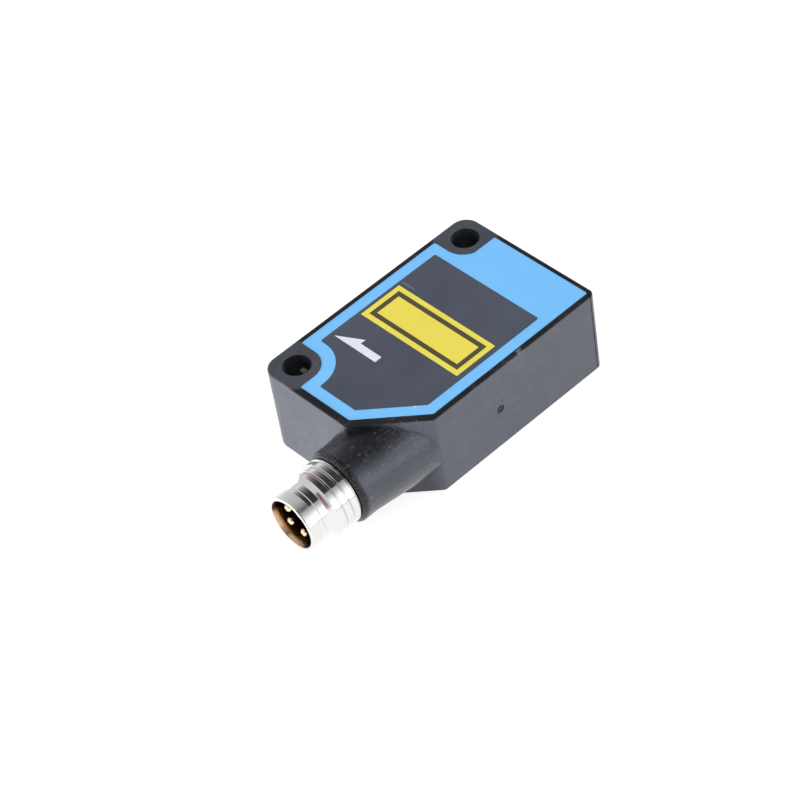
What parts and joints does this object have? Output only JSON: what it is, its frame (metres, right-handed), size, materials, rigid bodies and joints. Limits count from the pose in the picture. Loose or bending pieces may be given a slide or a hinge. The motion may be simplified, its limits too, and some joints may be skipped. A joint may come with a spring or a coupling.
{
  "type": "miniature photoelectric sensor",
  "caption": "Flat block-shaped diffuse photoelectric sensor with through holes, a printed label, a cut corner and a round threaded plug connector.",
  "frame": {"origin": "midway between the axes of the two mounting holes, on the base face", "axes": "+X from the optical face to the rear face, +Y from the connector end to the cover end, +Z from the base face to the label face"},
  "size_m": [0.02, 0.0412, 0.011],
  "materials": {
    "housing_plastic": "fine satin grain, black",
    "inner_plastic": "matte, black",
    "adjuster_plastic": "satin, pale grey",
    "insert_plastic": "satin, very dark brown",
    "window_plastic": "polished, dark red, clear",
    "lens_glass": "polished, clear",
    "lens_plastic": "polished, slightly milky",
    "label_blue": "satin foil, light blue print",
    "label_dark": "satin, dark grey print",
    "label_yellow": "satin, yellow print",
    "label_frame": "satin, black print",
    "label_white": "satin, white print",
    "nickel_plate": "satin nickel over brass",
    "gold_plate": "gold-plated, satin",
    "brass": "turned, plain",
    "tinplate": "tinned, satin",
    "solder": "smooth, bright",
    "circuit_board": "green solder mask",
    "chip_resin": "matte, black",
    "capacitor_ceramic": "matte, tan",
    "green_lamp": "clear, tinted green",
    "yellow_lamp": "clear, tinted yellow",
    "rubber": "matte, black"
  },
  "bodies": {
    "sensor_body": {"housing": "housing_plastic", "end_cover": "housing_plastic", "cover_seal": "rubber", "front_window": "window_plastic", "window_seal": "rubber", "label_foil": "label_blue", "label_dark_field": "label_dark", "label_yellow_field": "label_yellow", "label_frame_line": "label_frame", "label_arrow": "label_white", "optics_holder": "inner_plastic", "emitter_lens": "lens_glass", "laser_sleeve": "brass", "laser_diode": "gold_plate", "receiver_lens": "lens_glass", "receiver_shield": "tinplate", "receiver_diode": "chip_resin", "receiver_board": "circuit_board", "main_board": "circuit_board", "controller_chip": "chip_resin", "driver_chip": "chip_resin", "voltage_regulator": "chip_resin", "output_transistors": "chip_resin", "capacitors": "capacitor_ceramic", "resistors": "chip_resin", "solder_joints": "solder", "sensitivity_trimmer": "inner_plastic", "mode_switch": "inner_plastic", "power_led": "green_lamp", "output_led": "yellow_lamp", "indicator_lens": "lens_plastic", "connector_shell": "nickel_plate", "shell_ring": "rubber", "connector_insert": "insert_plastic", "contact_1": "gold_plate", "contact_2": "gold_plate", "contact_3": "gold_plate", "contact_4": "gold_plate"},
    "adjuster": {"sensitivity_adjuster": "adjuster_plastic", "adjuster_ring": "rubber"},
    "selector": {"mode_selector": "adjuster_plastic", "selector_ring": "rubber"}
  },
  "joints": [
    {"name": "adjuster_turn", "type": "hinge", "parent": "sensor_body", "child": "adjuster", "pos_m": [0.0052, 0.0144, 0.0055], "axis": [0, 1, 0], "range_deg": [-135, 135]},
    {"name": "selector_turn", "type": "hinge", "parent": "sensor_body", "child": "selector", "pos_m": [0.0097, 0.0144, 0.0055], "axis": [0, 1, 0], "range_deg": [0, 90]}
  ]
}
